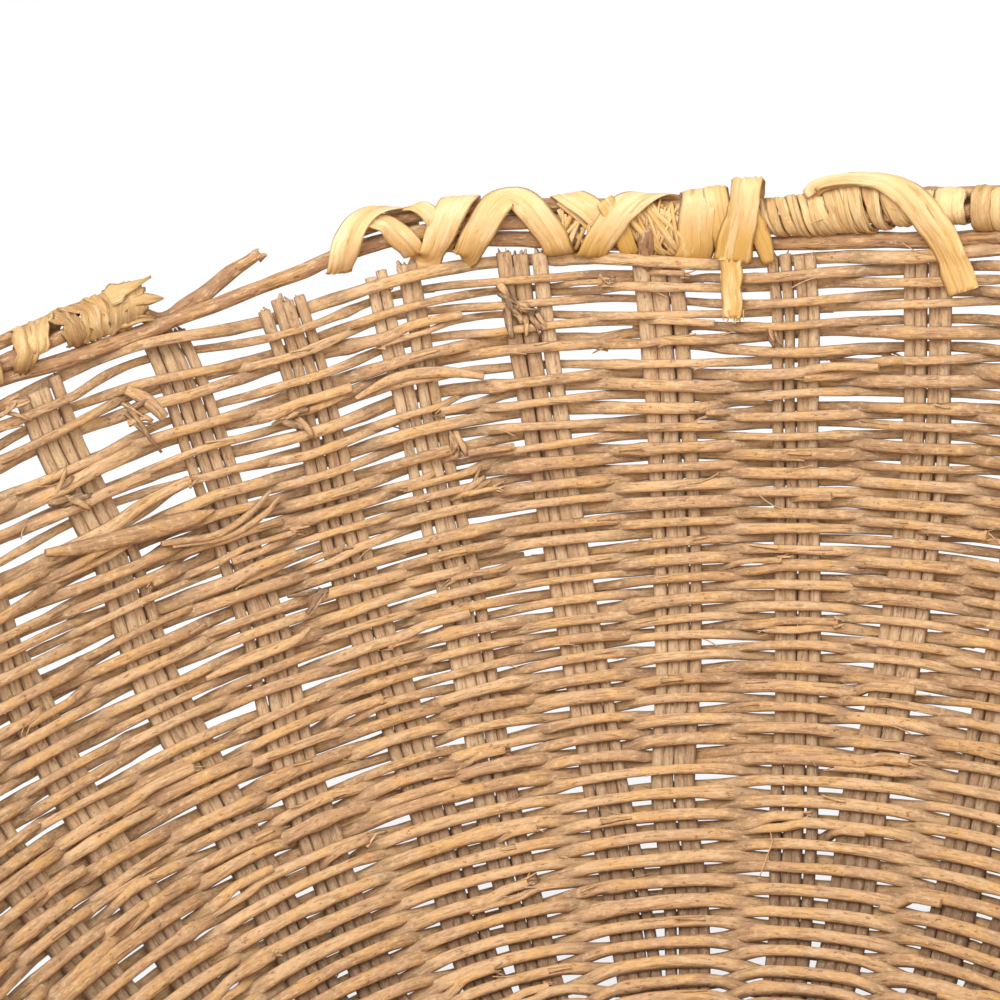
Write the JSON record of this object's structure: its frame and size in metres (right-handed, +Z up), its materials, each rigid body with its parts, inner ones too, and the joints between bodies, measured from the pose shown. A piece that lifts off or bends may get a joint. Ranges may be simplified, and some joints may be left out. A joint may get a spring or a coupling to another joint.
{
  "type": "foraging basket",
  "caption": "Round flaring foraging basket of thin willow rods woven over groups of rods that rise from a crossed mat, with a rod rim bound in bast and flat strips.",
  "frame": {"origin": "on the floor under the middle of the woven mat that the basket stands on", "axes": "+Z up along the bowl's axis, towards its mouth; +Y towards the stretch of rim bound with the open pale strip"},
  "size_m": [0.4102, 0.412, 0.1745],
  "materials": {
    "willow_stake": "weathered unpeeled willow rods, matt with a slight sheen",
    "willow_weaver": "weathered willow rods, matt with a slight sheen",
    "willow_rim": "thicker willow rods with worn bark",
    "pale_strip": "flat pale straw-yellow strip, satin",
    "bast": "fibrous bark strips wound close, matt"
  },
  "bodies": {
    "root": {"spoke_lengthwise_1": "willow_stake", "spoke_lengthwise_2": "willow_stake", "spoke_lengthwise_3": "willow_stake", "spoke_lengthwise_4": "willow_stake", "spoke_lengthwise_5": "willow_stake", "spoke_crosswise_1": "willow_stake", "spoke_crosswise_2": "willow_stake", "spoke_crosswise_3": "willow_stake", "spoke_crosswise_4": "willow_stake", "spoke_crosswise_5": "willow_stake", "base_course_1": "willow_weaver", "base_course_2": "willow_weaver", "base_course_3": "willow_weaver", "base_course_4": "willow_weaver", "base_course_5": "willow_weaver", "wall_course_1": "willow_weaver", "wall_course_2": "willow_weaver", "wall_course_3": "willow_weaver", "wall_course_4": "willow_weaver", "wall_course_5": "willow_weaver", "wall_course_6": "willow_weaver", "wall_course_7": "willow_weaver", "wall_course_8": "willow_weaver", "wall_course_9": "willow_weaver", "wall_course_10": "willow_weaver", "rim_rod_lower": "willow_rim", "rim_rod_inner": "willow_rim", "rim_rod_outer": "willow_rim", "binding_strip_1": "pale_strip", "binding_strip_2": "pale_strip", "binding_strip_3": "pale_strip", "binding_knot": "pale_strip", "laid_strip": "pale_strip", "bast_wrap_1": "bast", "bast_wrap_2": "bast", "bast_wrap_3": "bast", "bast_wrap_4": "bast", "bast_wrap_5": "bast"}
  },
  "joints": []
}
